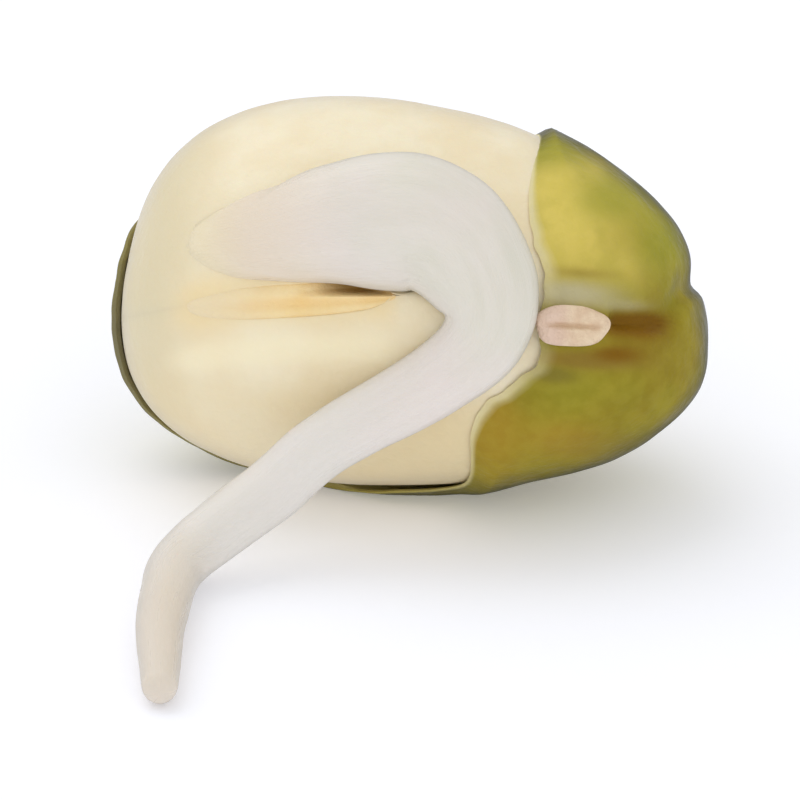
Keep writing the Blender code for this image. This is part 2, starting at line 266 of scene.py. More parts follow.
def smooth_route():
    """Places and half widths on one smooth curve through the stem's stations."""
    stations = np.array(STEM_ROUTE)
    padded = np.vstack([stations[:1], stations, stations[-1:]])
    path = []
    for before, here, there, after in zip(padded, padded[1:], padded[2:], padded[3:]):
        for t in np.arange(STEM_STEPS) / STEM_STEPS:
            path.append(0.5 * (2 * here + (there - before) * t
                               + (2 * before - 5 * here + 4 * there - after) * t**2
                               + (3 * here - before - 3 * there + after) * t**3))
    path.append(stations[-1])
    return np.array(path)


class Stem:
    """The stem's centre line with its half sizes and the directions across it."""

    def __init__(self):
        path = smooth_route()
        self.centres = path[:, :3]
        ahead = np.vstack([self.centres[1:], self.centres[-1:]])
        behind = np.vstack([self.centres[:1], self.centres[:-1]])
        self.run = (ahead - behind) / np.linalg.norm(ahead - behind, axis=1)[:, None]
        wide = np.cross(self.run, VIEW_BACK)
        self.wide = wide / np.linalg.norm(wide, axis=1)[:, None]
        self.deep = np.cross(self.wide, self.run)
        along = np.linspace(0.0, 1.0, len(path))
        self.half = path[:, 3]
        flat = STEM_FLATNESS + (1 - STEM_FLATNESS) * smooth_step(along, STEM_ROUND_FROM, STEM_ROUND_AT)
        self.half_deep = self.half * flat
        steps = np.linalg.norm(np.diff(self.centres, axis=0), axis=1)
        self.travel = np.concatenate([[0.0], np.cumsum(steps)])

    def nearest(self, points):
        """The nearest ring to each point, and the point's place across, out of and along from it."""
        away = points[:, None, :] - self.centres[None, :, :]
        near = np.argmin(np.einsum("ijk,ijk->ij", away, away), axis=1)
        picked = away[np.arange(len(points)), near]
        across = np.einsum("ij,ij->i", picked, self.wide[near])
        out = np.einsum("ij,ij->i", picked, self.deep[near])
        along = np.einsum("ij,ij->i", picked, self.run[near])
        return near, across, out, along


STEM = Stem()


def ring_places(centre, wide, deep):
    """One ring of the stem's skin."""
    turns = 2 * np.pi * np.arange(STEM_SIDES) / STEM_SIDES
    return centre + np.cos(turns)[:, None] * wide + np.sin(turns)[:, None] * deep


def stem_rings():
    """The stem's rings, with both ends rounded off and the hook's inside eased, and their travel."""
    rings = []
    travels = []
    count = len(STEM.centres)
    start = [(0, -STEM_END_LENGTH, part) for part in STEM_END_ROUNDING[:0:-1]]
    middle = [(i, 0.0, 0.0) for i in range(count)]
    end = [(count - 1, ROOT_END_LENGTH, part) for part in STEM_END_ROUNDING[1:]]
    for i, reach, part in start + middle + end:
        size = math.sqrt(1 - part * part)
        centre = STEM.centres[i] + STEM.run[i] * reach * part * STEM.half[i]
        rings.append(ring_places(centre, STEM.wide[i] * STEM.half[i] * size,
                                 STEM.deep[i] * STEM.half_deep[i] * size))
        travels.append(STEM.travel[i] + reach * part * STEM.half[i])
    rings = np.array(rings)
    share = bell(np.arange(len(rings)) - len(start) - HOOK_MIDDLE, HOOK_SPREAD)[1:-1, None, None]
    for _ in range(HOOK_RELAX_ROUNDS):
        eased = (rings[:-2] + 2 * rings[1:-1] + rings[2:]) / 4
        rings[1:-1] += (eased - rings[1:-1]) * share
    return rings, np.array(travels)


def settle_start(points, travel):
    """Lays the stem's start flush into the seed leaf's skin, out of which it rises softly."""
    local = to_seed(points)
    skin = egg(local, leaf_swell(local))
    skin_reach = np.linalg.norm(skin, axis=1) + leaf_relief(to_world(skin))
    reach = np.linalg.norm(local, axis=1)
    above = reach - skin_reach
    sunk = 1 - smooth_step(travel, START_FLUSH, START_RISEN)
    eased = 1 - np.sqrt(sunk) * (1 - smooth_step(above, 0.0, START_FILLET))
    settled = np.where(above > 0, above * (1 - sunk) * eased, above)
    settled = settled - START_SUNK * sunk * (above > START_SUNK_BELOW)
    return to_world(local * ((skin_reach + settled) / reach)[:, None])


def build_stem(material):
    """The stem and root: a ring drawn out along the route, smoothed and then given its fine relief."""
    rings, travels = stem_rings()
    bpy.ops.mesh.primitive_circle_add(vertices=STEM_SIDES, radius=MM, fill_type="NGON")
    stem = bpy.context.object
    stem.name = "hooked_stem"
    bpy.ops.object.mode_set(mode="EDIT")
    for _ in rings[1:]:
        bpy.ops.mesh.extrude_region_move(TRANSFORM_OT_translate={"value": (0, 0, MM)})
    bpy.ops.mesh.select_all(action="SELECT")
    bpy.ops.object.mode_set(mode="OBJECT")
    places = get_points(stem)
    heights = np.rint(places[:, 2]).astype(int)
    angles = np.arctan2(places[:, 1], places[:, 0])
    turns = np.rint(angles / (2 * np.pi / STEM_SIDES)).astype(int) % STEM_SIDES
    travel = travels[heights]
    set_points(stem, rings[heights, turns])
    strand = (travel * STRAND_LENGTH, np.cos(angles) * STRAND_ROUND, np.sin(angles) * STRAND_ROUND)
    add_place(stem, "strand", np.stack(strand, axis=1))
    add_value(stem, "travel", travel / STEM.travel[-1])
    point_outwards(stem)
    smooth = stem.modifiers.new("smooth skin", "SUBSURF")
    smooth.levels = 2
    smooth.render_levels = 2
    apply_all(stem)

    points = get_points(stem)
    strand = np.empty(len(points) * 3)
    stem.data.attributes["strand"].data.foreach_get("vector", strand)
    strand = strand.reshape(-1, 3)
    travel = strand[:, 0] / STRAND_LENGTH
    half = np.interp(travel, STEM.travel, STEM.half)
    relief = relief_of(strand, STRAND_RELIEF) + relief_of(points, STEM_RELIEF)
    relief = relief * np.clip(half / RELIEF_FULL_WIDTH, *RELIEF_SHARES)
    points = points + get_normals(stem) * relief[:, None]
    points = settle_start(points, travel)
    points[:, 2] = np.maximum(points[:, 2], STEM_LOWEST)
    set_points(stem, points)
    finish_piece(stem, "stem_and_rootlet", material)


# The cleft between the seed leaves, and the room in it for the first leaves
CLEFT_TOP_AT = 0.6
CLEFT_TOP = 0.19
CLEFT_BOW = 0.042
BUD_MIDDLE = -1.08
BUD_HALF_LENGTH = 1.36
BUD_HALF_DEPTH = 0.5
BUD_HALF_THICKNESS = 0.32
BUD_TIGHTNESS = 0.62
BUD_LOW = 0.08
BUD_RECESS = -0.015


def cleft_height(u):
    """The height of the cleft, along the seed."""
    return CLEFT_TOP - CLEFT_BOW * (u - CLEFT_TOP_AT) ** 2


def bud_swell(u):
    """How full the first leaves are along the seed, from 0 at their ends to 1."""
    along = np.clip((u - BUD_MIDDLE) / BUD_HALF_LENGTH, -1.0, 1.0)
    return np.sqrt(1 - along * along)


def bud_edge(u):
    """How far out of the belly the first leaves reach, along the seed."""
    swell = leaf_swell(belly_spot(u, cleft_height(u), 0.0))
    return belly_spot(u, cleft_height(u), swell - BUD_RECESS)[:, 1]


# The seed leaves
SLIT_MIDDLE = -0.24
SLIT_HALF_LENGTH = 0.44
SLIT_WIDTH = 0.1
LEAF_FLOOR = 0.2
LEAF_SLACK = 0.15
LEAF_SLACK_FROM = 0.66
LEAF_SLACK_FULL = 0.78
RIM_RADIUS = 0.035
RIM_POWER = 40.0
GROWN_RADIUS = -0.006
GROWN_POWER = 400.0
GROWN_LEFT = (1.8, 2.25)
GROWN_RIGHT = (0.0, 0.35)
LEAF_SEGMENTS = 240
LEAF_RINGS = 190
DOME_SHARE = 0.56
BED_SOFTNESS = 0.08
BED_GAP = 0.02
BED_FROM = 1.5
BED_FULL = 2.8
BED_BANK = 2.2
BED_FADE = (1.3, 1.9)
FACE_FULLNESS = 1.8

# Where the seed leaves are tinted with painted light: warm shade in and along the cleft, a highlight on the
# rim below it, shade at the left end and below
CLEFT_SHADE_DEPTHS = (0.02, 0.2)
WINDOW_LEFT = (-3.1, -2.2)
WINDOW_RIGHT = (0.1, 0.6)
CLEFT_SHADE_WIDTH = 0.42
RIM_HIGHLIGHT_BELOW = 0.72
RIM_HIGHLIGHT_WIDTH = 0.22
LEFT_END_SHADE = (1.6, 3.6)
UNDERSIDE_SHADE_BELOW = (0.6, 1.5)
UNDERSIDE_SHADE_ALONG = (-1.0, 1.2)
UNDERSIDE_SHADE_LEAST = 0.5


def soft_minimum(a, b, softness):
    """The lower of two heights, with the corner between them rounded."""
    mix = np.clip(0.5 + 0.5 * (b - a) / softness, 0.0, 1.0)
    return b * (1 - mix) + a * mix - softness * mix * (1 - mix)


def press_bed(points):
    """Presses the bed of the stem into the seed leaves, but not where the stem grows out."""
    near, across, out, along = STEM.nearest(points)
    beside = np.abs(across) / STEM.half[near]
    hollow = STEM.half_deep[near] * np.sqrt(np.clip(1 - beside**2, 0.0, 1.0))
    under = np.maximum(beside - 1, 0.0) * BED_BANK - hollow
    pressed = soft_minimum(out, under - BED_GAP, BED_SOFTNESS)
    close = 1 - smooth_step(beside, *BED_FADE)
    grown_free = smooth_step(STEM.travel[near] + along, BED_FROM, BED_FULL)
    amount = (pressed - out) * close * grown_free
    return points + STEM.deep[near] * amount[:, None]


def face_height(u, v, side):
    """The height of a seed leaf's inner face, with room for the first leaves and the slit."""
    inward = np.clip((bud_edge(u) - BUD_HALF_DEPTH - v) / BUD_HALF_DEPTH, 0.0, 1.0)
    swell = bud_swell(u) * np.sqrt(1 - inward * inward) * (v > 0)
    room = (BUD_HALF_THICKNESS * BUD_TIGHTNESS - side * BUD_LOW) * swell
    slit = SLIT_WIDTH * bell(u - SLIT_MIDDLE, SLIT_HALF_LENGTH) * (v > 0) * (side > 0)
    return cleft_height(u) + side * room + slit


def tint_seed_leaf(leaf, local, depth, grown):
    """Stores where a seed leaf gets painted warm shade in and near the cleft, a painted highlight on the
    rim below it, and painted shade at its left end and below.
    """
    u = local[:, 0]
    above = local[:, 2] - cleft_height(u)
    window = smooth_step(u, *WINDOW_LEFT) * (1 - smooth_step(u, *WINDOW_RIGHT)) * (local[:, 1] > 0)
    rightwards = UNDERSIDE_SHADE_LEAST + (1 - UNDERSIDE_SHADE_LEAST) * smooth_step(u, *UNDERSIDE_SHADE_ALONG)
    # Painted warm shade deep in the cleft, and along it on the skin
    add_value(leaf, "cleft", smooth_step(depth, *CLEFT_SHADE_DEPTHS) * (1 - grown))
    add_value(leaf, "cleft_shade", bell(above, CLEFT_SHADE_WIDTH) * window)
    # Painted highlight on the lower seed leaf's rounded rim below the cleft
    add_value(leaf, "rim_highlight", bell(above + RIM_HIGHLIGHT_BELOW, RIM_HIGHLIGHT_WIDTH) * window)
    # Painted shade at the seed leaf's left end
    add_value(leaf, "left_end", smooth_step(-u, *LEFT_END_SHADE))
    # Painted tan shade on the lower part of the seed leaf, stronger to the right
    add_value(leaf, "underside", smooth_step(-local[:, 2], *UNDERSIDE_SHADE_BELOW) * rightwards)


def build_seed_leaf(name, side, node, material):
    """One seed leaf: a dome with a rounded rim, closed by its bowed inner face, pressed by the stem."""
    leaf = add_ball(name, LEAF_SEGMENTS, LEAF_RINGS)
    angle, turn = ball_angles(leaf)
    share = angle / math.pi
    part_out = np.minimum(share / DOME_SHARE, 1.0)
    rim = np.stack([np.cos(turn), np.sin(turn), np.zeros(len(turn))], axis=1)
    skin = egg(rim, leaf_swell(rim))
    grown = smooth_step(-skin[:, 0], *GROWN_LEFT) + smooth_step(skin[:, 0], *GROWN_RIGHT)
    radius = RIM_RADIUS + (GROWN_RADIUS - RIM_RADIUS) * grown
    edge = face_height(skin[:, 0], skin[:, 1], side) + side * radius
    tilt = part_out * math.pi / 2
    directions = rim * np.sin(tilt)[:, None]
    directions[:, 2] = side * np.cos(tilt) + edge / SEED_HALF[2] * part_out**2
    unit = directions / np.linalg.norm(directions, axis=1)[:, None]
    slack = LEAF_SLACK * smooth_step(unit[:, 0], LEAF_SLACK_FROM, LEAF_SLACK_FULL)
    local = egg(directions, leaf_swell(directions) - slack)

    inward = np.clip((share - DOME_SHARE) / (1 - DOME_SHARE), 0.0, 1.0)
    part = 1 - inward**FACE_FULLNESS
    power = RIM_POWER + (GROWN_POWER - RIM_POWER) * grown
    rise = 1 - np.sqrt(1 - part**power)
    inside = share > DOME_SHARE
    u = local[:, 0] * part
    v = local[:, 1] * part
    face = face_height(u, v, side)
    at_rim = face_height(local[:, 0], local[:, 1], side)
    w = face + (local[:, 2] - at_rim) * rise
    local[inside] = np.stack([u, v, w], axis=1)[inside]

    world = to_world(local)
    outward = unit @ np.array([LENGTHWISE, BELLY, ACROSS])
    fade = np.where(inside, part**power, 1.0)
    world = world + outward * (leaf_relief(world) * fade)[:, None]
    world = press_bed(world)
    world[:, 2] = np.maximum(world[:, 2], LEAF_FLOOR)
    set_points(leaf, world)
    point_outwards(leaf)
    tint_seed_leaf(leaf, local, np.where(inside, (1 - part) * SEED_HALF[1], 0.0), grown)
    finish_piece(leaf, node, material)


# The first leaves
BUD_FOLD = 0.035
BUD_FOLD_AT = -0.1
BUD_FOLD_WIDTH = 0.3
BUD_VEIN_HEIGHT = 0.003
BUD_VEINS_ALONG = 26.0
BUD_VEINS_SLANT = 2.5
BUD_FLATTENED = 0.3
BUD_NOTCH = 0.34
BUD_NOTCH_LEAN = (0.1, 0.45)
BUD_LONGER = 0.06
BUD_LEFT_END = (-0.1, 0.85)
BUD_SEGMENTS = 160
BUD_RINGS = 140


def build_first_leaves(material):
    """The first leaves: a slim pointed pair, folded together, flattened where they show in the cleft."""
    bud = add_ball("folded_first_leaves", BUD_SEGMENTS, BUD_RINGS)
    angle, turn = ball_angles(bud)
    along = -np.cos(angle)
    swell = np.sin(angle)
    lean = np.sin(turn)
    u = BUD_MIDDLE + (BUD_HALF_LENGTH + BUD_LONGER) * along
    veins = BUD_VEIN_HEIGHT * np.sin(along * BUD_VEINS_ALONG + BUD_VEINS_SLANT * np.abs(turn)) * lean**2
    fold = bell(lean - BUD_FOLD_AT, BUD_FOLD_WIDTH) * (np.cos(turn) > 0)
    notch = bell(u - SLIT_MIDDLE, SLIT_HALF_LENGTH) * smooth_step(lean, *BUD_NOTCH_LEAN)
    half_depth = BUD_HALF_DEPTH * swell
    outward = np.sign(np.cos(turn)) * np.abs(np.cos(turn)) ** BUD_FLATTENED
    v = bud_edge(u) - half_depth + half_depth * outward - BUD_FOLD * fold * swell
    v = v - BUD_NOTCH * notch * (np.cos(turn) > 0)
    w = cleft_height(u) - BUD_LOW * swell + (BUD_HALF_THICKNESS * lean + veins) * swell
    set_points(bud, to_world(np.stack([u, v, w], axis=1)))
    point_outwards(bud)
    add_value(bud, "fold", fold)
    # The notch's dark colour is painted shade in the slit under the upper seed leaf
    add_value(bud, "notch", notch)
    add_value(bud, "left_end", smooth_step(-along, *BUD_LEFT_END))
    finish_piece(bud, "first_leaves", material)


# The coat, with its torn edge as angles round the seed and how far it reaches from the back, in degrees
COAT_INNER = 0.05
COAT_OUTER = 0.2
COAT_TEAR = (
    (0.0, 147.0), (6.0, 145.6), (16.0, 143.9), (25.0, 142.6), (34.0, 140.0), (42.0, 136.4), (49.0, 131.0),
    (54.5, 124.0), (59.0, 113.5), (61.5, 101.0), (63.5, 86.0), (65.5, 70.0), (68.0, 61.0), (76.0, 57.0),
    (95.0, 55.0), (125.0, 57.0), (148.0, 62.0), (160.0, 74.0), (168.0, 94.0), (176.0, 99.5), (190.0, 99.5),
    (203.0, 97.5), (213.0, 94.5), (222.0, 90.5), (232.0, 85.0), (245.0, 80.5), (255.0, 83.0), (263.0, 89.0),
    (272.0, 94.0), (282.0, 96.0), (286.0, 99.0), (289.0, 104.5), (291.5, 113.0), (294.5, 122.5),
    (299.0, 132.5), (303.5, 138.0), (308.5, 141.5), (314.5, 143.7), (322.0, 144.4), (330.5, 144.0),
    (337.5, 143.4), (345.0, 144.0), (352.0, 146.3), (360.0, 147.0),
)
COAT_SEGMENTS = 300
COAT_RINGS = 240
TEAR_SOFTENING = 2.0
TEAR_WAVES = ((11, 0.35, 0.0), (23, 0.24, 1.0), (41, 0.12, 2.0))
TEAR_SHIFTS = (-1.0, -0.5, 0.0, 0.5, 1.0)
TEAR_LIFT = 0.015
TEAR_LIFT_RUN = 14.0
CLOSE_TORN = ((42.0, 25.0), (66.0, 10.0), (312.0, 25.0))
LIP_AT = 193.0
LIP_WIDTH = 28.0
SHEET_EDGE = 0.08
SHEET_THIN = 0.34
SHEET_THINNEST = 0.18
SHEET_FULL = 0.85
SHEET_HUG = 0.6
SHEET_CLOSEST = 1.4
PALE_MARGIN = 0.18
SHEET_THIN_RUN = 0.8
MEAN_RADIUS = 2.9
FOLD_DEPTH = 0.22
FOLD_DEPTH_END = 0.1
FOLD_DEEPENS = (102.0, 118.0)
FOLD_WIDTH_ABOVE = 0.26
FOLD_WIDTH_BELOW = 0.09
FOLD_FROM = 134.0
FOLD_FULL = 128.0
FOLD_FADE = 80.0
FOLD_END = 55.0
FOLD_AT = 0.02
FOLD_RISE = 0.42
FOLD_RISE_FROM = 117.0
FOLD_RISE_FULL = 99.0
LOBES_ALONG = (2.4, 3.7)
LOWER_LOBE_OUT = 0.11
LOWER_LOBE_AT = -0.8
LOWER_LOBE_WIDTH = 0.6
UPPER_LOBE_IN = 0.06
UPPER_LOBE_AT = 0.55
UPPER_LOBE_WIDTH = 0.35
# Where the coat lies closer: how much, the middle and width round the seed, and from its back, in degrees
HUGS = ((0.08, 301.0, 12.0, 88.0, 25.0), (0.06, 52.0, 14.0, 100.0, 22.0))
COAT_DENTS = ((0.03, 1.5, 12.0, 3),)
COAT_RIPPLES = ((0.014, 0.6, 5.0, 2),)
RIPPLE_SQUEEZE = np.array([1.0, 1.0, 2.4])
RIPPLES_RUN = (2.2, 0.2)
COAT_CREASES = ((0.02, 1.0, 2.0, 3),)
CREASE_FAN_FROM = (3.05, 0.0)
CREASES_ROUND = 2.6
CREASES_OUT = 0.5
CREASES_START = (0.1, 0.5)
CREASES_FADE = 1.6
INNER_LOWEST = 0.1

# Where the coat is tinted, with its own colours and with painted highlight and shade. A spot has a
# strength, its middle u and w, and its half sizes
BELLY_FADE = (-1.0, 0.3)
MARGIN_FULL = 0.01
MARGIN_LEAST = 0.1
LEFT_RIM_SHADE_AT = 200.0
LEFT_RIM_SHADE_WIDTH = 45.0
LEFT_RIM_SHADE_RUN = (-0.5, -0.15)
STREAK_AT = 0.02
STREAK_WIDTH = 0.165
STREAK_START = (2.96, 3.16)
STREAK_END = (-3.98, -3.5)
DUSK_BELOW = (0.1, 0.8)
COAT_SPOTS = {
    "stain": ((0.8, 3.2, -0.38, 0.32, 0.12), (0.3, 3.6, -0.2, 0.5, 0.3)),
    # Brown below the hilum, partly its own colour and partly painted shade, and a painted shade line above
    # the fold
    "brown_and_shade": ((1.0, 2.8, -0.48, 0.8, 0.14), (0.3, 3.4, -0.15, 0.65, 0.32), (0.5, 2.7, 0.66, 0.6, 0.09)),
    "ochre": ((1.0, 1.6, -1.5, 0.45, 0.75), (1.0, 2.6, -1.6, 0.5, 0.3)),
    # Lighter yellow upper lobe, partly its own tone and partly a painted highlight
    "yellow_and_highlight": ((1.0, 2.3, 1.45, 0.95, 1.05), (0.4, 3.2, 0.7, 0.5, 0.35)),
    # Painted shade below the hilum; darker low on the lower lobe
    "deep": ((1.0, 2.43, -0.7, 0.35, 0.13), (0.6, 3.1, -1.75, 0.8, 0.35)),
    "green": (
        (1.0, 1.9, 2.2, 0.6, 0.3), (1.0, 2.9, 1.65, 0.5, 0.35), (1.0, 3.6, 1.1, 0.35, 0.5),
        (0.7, 2.7, -0.9, 0.7, 0.25),
    ),
    "shade": ((1.0, 2.55, 0.38, 0.65, 0.19), (0.4, 3.3, 0.24, 0.3, 0.09)),
}


def tear_line(degrees):
    """How far the coat reaches from the back of the seed, at angles round it, in degrees."""
    angles, reaches = np.array(COAT_TEAR).T
    soft = np.zeros(len(degrees))
    for shift in TEAR_SHIFTS:
        soft += np.interp((degrees + shift * TEAR_SOFTENING) % 360.0, angles, reaches)
    turn = np.radians(degrees)
    ragged = sum(height * np.sin(count * turn + start) for count, height, start in TEAR_WAVES)
    return soft / len(TEAR_SHIFTS) + ragged


def fold_middle(reach):
    """The height of the fold between the two lobes, along its way round the end of the seed."""
    return FOLD_AT + FOLD_RISE * (1 - smooth_step(reach, FOLD_RISE_FULL, FOLD_RISE_FROM))


def lobes(u, w, degrees, reach):
    """How much further out the coat stands on its lower lobe, and closer in above the fold and below."""
    end = smooth_step(u, *LOBES_ALONG)
    stand = LOWER_LOBE_OUT * bell(w - LOWER_LOBE_AT, LOWER_LOBE_WIDTH) * end
    stand = stand - UPPER_LOBE_IN * bell(w - UPPER_LOBE_AT, UPPER_LOBE_WIDTH) * end
    for closer, turn, turn_width, back, back_width in HUGS:
        stand = stand - closer * bell(degrees - turn, turn_width) * bell(reach - back, back_width)
    return stand


def belly_side(local):
    """1 on the belly side, fading to 0 towards the back."""
    return smooth_step(local[:, 1], *BELLY_FADE)


def press_fold(local, reach, outward):
    """Presses the fold between the two lobes into the coat."""
    along = smooth_step(reach, FOLD_END, FOLD_FADE) * (1 - smooth_step(reach, FOLD_FULL, FOLD_FROM))
    across = local[:, 2] - fold_middle(reach)
    width = np.where(across > 0, FOLD_WIDTH_ABOVE, FOLD_WIDTH_BELOW)
    fold = bell(across, width) * along * (local[:, 0] > 0)
    depth = FOLD_DEPTH_END + (FOLD_DEPTH - FOLD_DEPTH_END) * smooth_step(reach, *FOLD_DEEPENS)
    return local - outward * (depth * fold)[:, None]


def coat_relief(local, skin, from_edge, at_edge, torn):
    """How far the coat swells and sinks: dents, ripples by its edge, creases that fan out at its end."""
    dents = relief_of(skin, COAT_DENTS) * (1 - at_edge)
    ripples = relief_of(skin * RIPPLE_SQUEEZE, COAT_RIPPLES) * smooth_step(from_edge, *RIPPLES_RUN)
    fan_u = local[:, 0] - CREASE_FAN_FROM[0]
    fan_w = local[:, 2] - CREASE_FAN_FROM[1]
    away = np.hypot(fan_u, fan_w)
    fan = (np.arctan2(fan_w, fan_u) * CREASES_ROUND, away * CREASES_OUT, np.zeros(len(away)))
    creases = relief_of(np.stack(fan, axis=1), COAT_CREASES) * belly_side(local)
    creases = creases * smooth_step(away, *CREASES_START) * bell(away, CREASES_FADE)
    return dents + ripples * (1 - at_edge * torn) + creases + leaf_relief(to_world(local)) * at_edge


def spots_on(local, spots):
    """How strongly soft oval spots on the belly side show at each point."""
    shown = np.zeros(len(local))
    for strength, u, w, half_u, half_w in spots:
        away = ((local[:, 0] - u) / half_u) ** 2 + ((local[:, 2] - w) / half_w) ** 2
        shown += strength * np.exp(-away)
    return shown * belly_side(local)


def tint_coat(coat, local, degrees, from_edge, torn, outer):
    """Stores where the coat is pale, brown, green and so on, and where it gets a painted highlight and
    painted shade.
    """
    tints = {name: spots_on(local, spots) for name, spots in COAT_SPOTS.items()}
    streak = bell(local[:, 2] - STREAK_AT, STREAK_WIDTH) * smooth_step(local[:, 0], *STREAK_START)
    tints["stain"] += streak * smooth_step(-local[:, 0], *STREAK_END) * belly_side(local)
    near = smooth_step(-from_edge, -PALE_MARGIN, -MARGIN_FULL)
    tints["margin"] = near * np.clip(MARGIN_LEAST + torn, 0, 1)
    tints["inside"] = np.where(outer, 0.0, 1.0)
    # Painted shade along the coat's torn rim on the left
    tints["left_rim_shade"] = bell(degrees - LEFT_RIM_SHADE_AT, LEFT_RIM_SHADE_WIDTH) * smooth_step(-from_edge, *LEFT_RIM_SHADE_RUN)
    tints["dusky"] = smooth_step(-local[:, 2], *DUSK_BELOW) * (local[:, 0] > 0)
    for name, amounts in tints.items():
        add_value(coat, name, np.clip(amounts, 0, 1))


def build_coat(material):
    """The coat: a bowl over the back of the seed, drawn out to the torn edge, folded and wrinkled."""
    coat = add_ball("green_seed_coat", COAT_SEGMENTS, COAT_RINGS)
    angle, turn = ball_angles(coat)
    degrees = np.degrees(turn) % 360.0
    edge = tear_line(degrees)
    toward_edge = 1 - np.abs(angle / (math.pi / 2) - 1)
    outer = angle <= math.pi / 2
    reach = edge * toward_edge
    bow = np.radians(reach)
    directions = np.stack([np.sin(bow) * np.cos(turn), -np.cos(bow), np.sin(bow) * np.sin(turn)], axis=1)
    from_edge = np.radians(edge - reach) * MEAN_RADIUS
    torn = np.clip(sum(bell(degrees - at, width) for at, width in CLOSE_TORN), 0.0, 1.0)
    lip = bell(degrees - LIP_AT, LIP_WIDTH)
    rounding = np.sqrt(1 - (1 - np.clip(from_edge / SHEET_EDGE, 0, 1)) ** 2)
    thinnest = SHEET_THIN + (SHEET_THINNEST - SHEET_THIN) * torn + (SHEET_FULL - SHEET_THIN) * lip
    thin = thinnest + (1 - thinnest) * smooth_step(from_edge, 0.0, SHEET_THIN_RUN)
    half_thickness = (COAT_OUTER - COAT_INNER) / 2 * rounding * thin
    loose = SHEET_HUG * (1 - lip)
    at_edge = 1 - smooth_step(from_edge, 0.0, SHEET_THIN_RUN)
    hug = (loose + (SHEET_CLOSEST - loose) * torn) * at_edge
    close = (COAT_OUTER - COAT_INNER) / 2 * hug
    lift = TEAR_LIFT * (1 - torn) * smooth_step(reach, edge - TEAR_LIFT_RUN, edge)
    middle = (COAT_INNER + COAT_OUTER) / 2 - close + lift
    local = egg(directions, middle)
    middle = middle + lobes(local[:, 0], local[:, 2], degrees, reach)
    local = egg(directions, middle + np.where(outer, half_thickness, -half_thickness))

    outward = local / np.linalg.norm(local, axis=1)[:, None]
    local = press_fold(local, reach, outward)
    skin = egg(directions, (COAT_INNER + COAT_OUTER) / 2)
    local = local + outward * coat_relief(local, skin, from_edge, at_edge, torn)[:, None]
    world = to_world(local)
    world[:, 2] = np.maximum(world[:, 2], np.where(outer, 0.0, INNER_LOWEST))
    set_points(coat, world)
    point_outwards(coat)
    tint_coat(coat, local, degrees, from_edge, torn, outer)
    finish_piece(coat, "seed_coat", material)


# The hilum
HILUM_AT = (2.64, -0.03)
HILUM_HALF = (0.45, 0.27)
HILUM_BLUNTNESS = 0.72
HILUM_UNEVEN = ((3, 0.035, 1.0), (5, 0.025, 0.0))
HILUM_SINK = 0.05
HILUM_THICKNESS = 0.15
HILUM_SIDE_SHARE = 0.45
HILUM_RIM_AT = 0.78
HILUM_RIM_WIDTH = 0.16
HILUM_RIM_HEIGHT = 0.02
HILUM_GROOVE_WIDTH = 0.16
HILUM_GROOVE_DEPTH = 0.05
HILUM_GRAIN = ((0.01, 0.12, 6.0, 2),)
HILUM_PINK = (-0.3, 0.8)
HILUM_SEGMENTS = 96
HILUM_RINGS = 80


def build_hilum(material):
    """The hilum: an oval spongy pad on the coat with a raised rim and a groove down its middle."""
    pad = add_ball("oval_hilum", HILUM_SEGMENTS, HILUM_RINGS)
    angle, turn = ball_angles(pad)
    radius = np.sin(angle)
    uneven = 1 + sum(height * np.sin(count * turn + start) for count, height, start in HILUM_UNEVEN)
    lengthwise = np.sign(np.cos(turn)) * np.abs(np.cos(turn)) ** HILUM_BLUNTNESS
    p = radius * uneven * lengthwise
    q = radius * uneven * np.sin(turn)
    skin = belly_spot(HILUM_AT[0] + HILUM_HALF[0] * p, HILUM_AT[1] + HILUM_HALF[1] * q, COAT_OUTER)
    corners = belly_spot(HILUM_AT[0] + np.array([0.0, HILUM_HALF[0], 0.0]),
                         HILUM_AT[1] + np.array([0.0, 0.0, HILUM_HALF[1]]), COAT_OUTER)
    outward = np.cross(corners[2] - corners[0], corners[1] - corners[0])
    outward = outward / np.linalg.norm(outward)
    groove = bell(q, HILUM_GROOVE_WIDTH) * (1 - radius**2)
    rim = bell(radius - HILUM_RIM_AT, HILUM_RIM_WIDTH)
    dome = HILUM_THICKNESS * (HILUM_SIDE_SHARE + (1 - HILUM_SIDE_SHARE) * np.cos(angle))
    dome = dome + HILUM_RIM_HEIGHT * rim - HILUM_GROOVE_DEPTH * groove
    underside = HILUM_SIDE_SHARE * HILUM_THICKNESS * (1 + np.cos(angle)) - HILUM_SINK
    height = np.where(angle < math.pi / 2, dome, underside) + relief_of(skin, HILUM_GRAIN)
    local = skin + outward * height[:, None]
    set_points(pad, to_world(local))
    point_outwards(pad)
    add_value(pad, "groove", groove)
    add_value(pad, "pink", smooth_step(-p, *HILUM_PINK))
    finish_piece(pad, "hilum", material)


# The materials. A Mix node's colour sockets share their names with others, so they are found by number
MIX_FIRST = 6
MIX_SECOND = 7
MIX_RESULT = 2
FINE_DETAIL = 4.0
PLAIN_DETAIL = 3.0
NOISE_CONTRAST = (0.3, 0.7)
EDGE_SHADE_FROM = 0.55
EVEN_BLEND = 0.5
FLESH_SHINE = 0.4
BLACK = (0.0, 0.0, 0.0)
WHITE = (1.0, 1.0, 1.0)


def set_input(socket, value):
    """Sets a socket to a number or a colour."""
    socket.default_value = (*value, 1.0) if isinstance(value, tuple) else value


